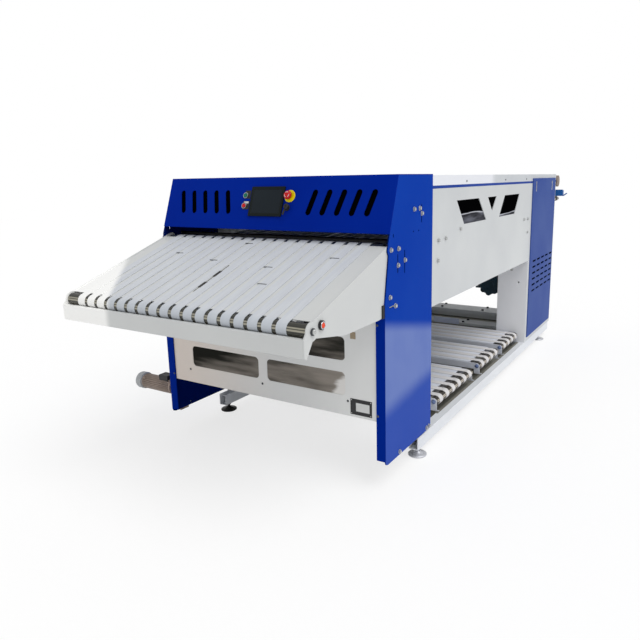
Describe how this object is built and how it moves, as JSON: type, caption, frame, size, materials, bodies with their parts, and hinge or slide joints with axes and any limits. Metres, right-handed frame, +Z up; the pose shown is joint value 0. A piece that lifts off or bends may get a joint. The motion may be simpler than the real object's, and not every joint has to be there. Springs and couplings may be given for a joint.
{
  "type": "laundry folding machine",
  "caption": "Laundry folding machine with a sloping belted infeed table, a long covered transport body, cross conveyors below it and a rear drive housing.",
  "frame": {"origin": "middle of the whole box, on the floor under the foot pads", "axes": "+Y from the feeding end to the rear, +X to the right hand side seen from the feeding end, +Z up"},
  "size_m": [1.669, 3.738, 1.33],
  "materials": {
    "white_paint": "satin powder coat",
    "blue_paint": "gloss paint",
    "zinc_steel": "zinc plated",
    "steel": "ground",
    "dark_steel": "oiled",
    "aluminium": "anodised",
    "clear_acrylic": "clear",
    "black_plastic": "matt",
    "belt_cloth": "woven",
    "blue_rubber": "matt",
    "black_rubber": "matt",
    "motor_grey": "satin",
    "motor_teal": "satin",
    "screen_plastic": "gloss",
    "green_plastic": "gloss",
    "red_plastic": "gloss",
    "orange_plastic": "gloss",
    "taupe_rubber": "matt",
    "blue_plastic": "gloss"
  },
  "bodies": {
    "frame": {"base_rails": "white_paint", "base_cross_members": "white_paint", "levelling_feet": "zinc_steel", "front_posts": "white_paint", "side_panel_right": "blue_paint", "side_panel_left": "blue_paint", "panel_bolts": "zinc_steel", "control_fascia": "blue_paint", "front_top_cover": "blue_paint", "lower_front_panel": "white_paint", "window_panes": "clear_acrylic", "blank_plates": "black_plastic", "infeed_plate_right": "white_paint", "infeed_plate_left": "white_paint", "infeed_bed": "white_paint", "nose_bumper": "white_paint", "infeed_belts": "belt_cloth", "entry_guide_bar": "steel", "body_side_right": "white_paint", "body_side_left": "white_paint", "edge_seals": "blue_rubber", "top_covers": "white_paint", "housing_walls": "white_paint", "door_surrounds": "white_paint", "rear_cover": "white_paint", "cross_conveyor_frames": "white_paint", "cross_conveyor_belts": "belt_cloth", "cross_gear_motor": "motor_grey", "main_gear_motor": "motor_teal", "drive_chain": "dark_steel", "electrical_cabinet": "motor_grey", "infeed_drive_belt": "black_rubber", "transport_belts": "belt_cloth", "roller_bearings": "dark_steel", "fold_cylinders": "aluminium", "touch_screen": "screen_plastic", "switch_collars": "zinc_steel", "air_valve": "steel"},
    "nose_roller": {"nose_roller": "steel"},
    "infeed_drive_roller": {"infeed_drive_roller": "steel"},
    "transport_front_roller": {"transport_front_roller": "steel"},
    "transport_rear_roller": {"transport_rear_roller": "steel"},
    "motor_sprocket": {"motor_sprocket": "dark_steel"},
    "fold_blade": {"fold_blade": "steel"},
    "nip_roller_upper": {"nip_roller_upper": "steel"},
    "nip_roller_lower": {"nip_roller_lower": "steel"},
    "cross_drive_shaft": {"cross_drive_shaft": "steel"},
    "cross_idler_front": {"cross_idler_front": "steel"},
    "cross_idler_middle": {"cross_idler_middle": "steel"},
    "cross_idler_rear": {"cross_idler_rear": "steel"},
    "start_button": {"start_button": "green_plastic"},
    "stop_button": {"stop_button": "red_plastic"},
    "emergency_stop": {"emergency_stop": "red_plastic"},
    "key_switch": {"key_switch": "black_plastic"},
    "side_button_right": {"side_button_right": "orange_plastic"},
    "side_button_left": {"side_button_left": "orange_plastic"},
    "rear_roller": {"rear_roller": "taupe_rubber"},
    "air_valve_lever": {"air_valve_lever": "blue_plastic"},
    "door_right": {"door_right": "blue_paint"},
    "door_left": {"door_left": "blue_paint"}
  },
  "joints": [
    {"name": "transport_rear_spin", "type": "hinge", "parent": "frame", "child": "transport_rear_roller", "pos_m": [0.1345, 0.864, 1.14], "axis": [1, 0, 0], "continuous": true},
    {"name": "transport_front_spin", "type": "hinge", "parent": "frame", "child": "transport_front_roller", "pos_m": [0.1345, -1.1367, 0.97795], "axis": [1, 0, 0], "continuous": true},
    {"name": "infeed_drive_spin", "type": "hinge", "parent": "frame", "child": "infeed_drive_roller", "pos_m": [0.1345, -1.2507, 1.02695], "axis": [1, 0, 0], "continuous": true},
    {"name": "nose_spin", "type": "hinge", "parent": "frame", "child": "nose_roller", "pos_m": [0.1345, -1.821, 0.825], "axis": [1, 0, 0], "continuous": true},
    {"name": "motor_sprocket_spin", "type": "hinge", "parent": "frame", "child": "motor_sprocket", "pos_m": [0.1345, 1.284, 0.504], "axis": [1, 0, 0], "continuous": true},
    {"name": "nip_upper_spin", "type": "hinge", "parent": "frame", "child": "nip_roller_upper", "pos_m": [0.1345, 0.104, 0.89645], "axis": [1, 0, 0], "continuous": true},
    {"name": "nip_lower_spin", "type": "hinge", "parent": "frame", "child": "nip_roller_lower", "pos_m": [0.1345, 0.104, 0.84345], "axis": [1, 0, 0], "continuous": true},
    {"name": "cross_drive_spin", "type": "hinge", "parent": "frame", "child": "cross_drive_shaft", "pos_m": [-0.5555, -1.316, 0.155], "axis": [0, 1, 0], "continuous": true},
    {"name": "cross_idler_front_spin", "type": "hinge", "parent": "frame", "child": "cross_idler_front", "pos_m": [0.6905, -0.341, 0.155], "axis": [0, 1, 0], "continuous": true},
    {"name": "cross_idler_middle_spin", "type": "hinge", "parent": "frame", "child": "cross_idler_middle", "pos_m": [0.6905, 0.254, 0.155], "axis": [0, 1, 0], "continuous": true},
    {"name": "cross_idler_rear_spin", "type": "hinge", "parent": "frame", "child": "cross_idler_rear", "pos_m": [0.6905, 0.724, 0.155], "axis": [0, 1, 0], "continuous": true},
    {"name": "rear_roller_spin", "type": "hinge", "parent": "frame", "child": "rear_roller", "pos_m": [0.1345, 1.774, 1.27], "axis": [1, 0, 0], "continuous": true},
    {"name": "fold_blade_slide", "type": "slide", "parent": "frame", "child": "fold_blade", "axis": [0, 1, 0], "range_m": [0, 0.055]},
    {"name": "start_press", "type": "slide", "parent": "frame", "child": "start_button", "axis": [0, 0.9428, -0.3332], "range_m": [0, 0.004], "stiffness_N_per_m": 600, "springref_m": -0.001},
    {"name": "stop_press", "type": "slide", "parent": "frame", "child": "stop_button", "axis": [0, 0.9428, -0.3332], "range_m": [0, 0.004], "stiffness_N_per_m": 600, "springref_m": -0.001},
    {"name": "emergency_stop_press", "type": "slide", "parent": "frame", "child": "emergency_stop", "axis": [0, 0.9428, -0.3332], "range_m": [0, 0.004], "stiffness_N_per_m": 600, "springref_m": -0.001},
    {"name": "key_turn", "type": "hinge", "parent": "frame", "child": "key_switch", "pos_m": [0.2475, -1.24125, 1.194], "axis": [0, -0.9428, 0.3332], "range_deg": [0, 90]},
    {"name": "side_right_press", "type": "slide", "parent": "frame", "child": "side_button_right", "axis": [-1, 0, 0], "range_m": [0, 0.004], "stiffness_N_per_m": 600, "springref_m": -0.001},
    {"name": "side_left_press", "type": "slide", "parent": "frame", "child": "side_button_left", "axis": [1, 0, 0], "range_m": [0, 0.004], "stiffness_N_per_m": 600, "springref_m": -0.001},
    {"name": "air_valve_turn", "type": "hinge", "parent": "frame", "child": "air_valve_lever", "pos_m": [0.7465, 1.824, 1.125], "axis": [0, 0, 1], "range_deg": [0, 90]},
    {"name": "door_right_lift_off", "type": "slide", "parent": "frame", "child": "door_right", "axis": [1, 0, 0], "range_m": [0, 0.25]},
    {"name": "door_left_lift_off", "type": "slide", "parent": "frame", "child": "door_left", "axis": [-1, 0, 0], "range_m": [0, 0.25]}
  ],
  "couplings": [
    {"joint": "transport_front_spin", "follows": "transport_rear_spin", "ratio": 1},
    {"joint": "infeed_drive_spin", "follows": "transport_rear_spin", "ratio": 1},
    {"joint": "nose_spin", "follows": "transport_rear_spin", "ratio": 1},
    {"joint": "motor_sprocket_spin", "follows": "transport_rear_spin", "ratio": 1},
    {"joint": "nip_lower_spin", "follows": "nip_upper_spin", "ratio": -1},
    {"joint": "cross_idler_front_spin", "follows": "cross_drive_spin", "ratio": 1},
    {"joint": "cross_idler_middle_spin", "follows": "cross_drive_spin", "ratio": 1},
    {"joint": "cross_idler_rear_spin", "follows": "cross_drive_spin", "ratio": 1}
  ]
}
